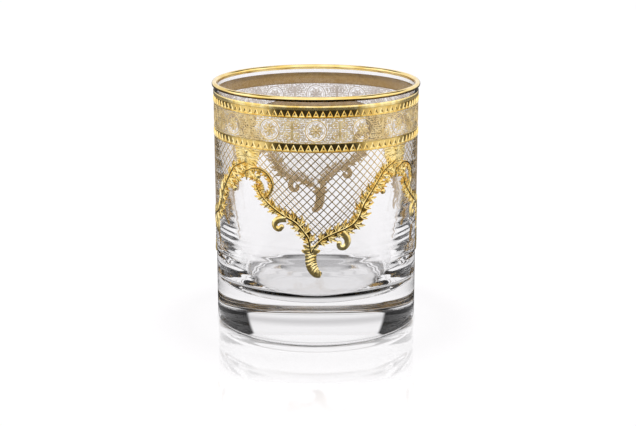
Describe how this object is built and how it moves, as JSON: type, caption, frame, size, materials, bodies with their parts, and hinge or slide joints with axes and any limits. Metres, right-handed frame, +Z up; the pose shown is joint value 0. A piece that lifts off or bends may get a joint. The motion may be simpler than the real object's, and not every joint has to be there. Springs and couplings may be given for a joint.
{
  "type": "whisky tumbler",
  "caption": "Straight-sided clear whisky tumbler with a heavy base, a gilded lip, gold border bands, a lace frieze and hanging V panels of lattice edged with gold leaf scrolls.",
  "frame": {"origin": "centre of the foot, in the plane that the tumbler stands on", "axes": "+Z up along the glass's axis towards the rim; -Y is the side that the picture faces"},
  "size_m": [0.08, 0.08, 0.095],
  "materials": {
    "clear_glass": "polished clear soda-lime glass",
    "rim_gold": "bright polished gilding",
    "border_gold": "bright fired gold with raised triangles",
    "lace_gold": "pale fine-line fired gold",
    "lattice_gold": "fine-line fired gold",
    "leaf_gold": "raised bright gold"
  },
  "bodies": {
    "root": {"glass_body": "clear_glass", "rim_gilding": "rim_gold", "upper_border": "border_gold", "frieze": "lace_gold", "lower_border": "border_gold", "lattice_panel_1": "lattice_gold", "leaf_border_left_1": "leaf_gold", "leaf_border_right_1": "leaf_gold", "tip_curl_1": "leaf_gold", "peak_ornament_1": "leaf_gold", "lattice_panel_2": "lattice_gold", "leaf_border_left_2": "leaf_gold", "leaf_border_right_2": "leaf_gold", "tip_curl_2": "leaf_gold", "peak_ornament_2": "leaf_gold", "lattice_panel_3": "lattice_gold", "leaf_border_left_3": "leaf_gold", "leaf_border_right_3": "leaf_gold", "tip_curl_3": "leaf_gold", "peak_ornament_3": "leaf_gold", "lattice_panel_4": "lattice_gold", "leaf_border_left_4": "leaf_gold", "leaf_border_right_4": "leaf_gold", "tip_curl_4": "leaf_gold", "peak_ornament_4": "leaf_gold"}
  },
  "joints": []
}
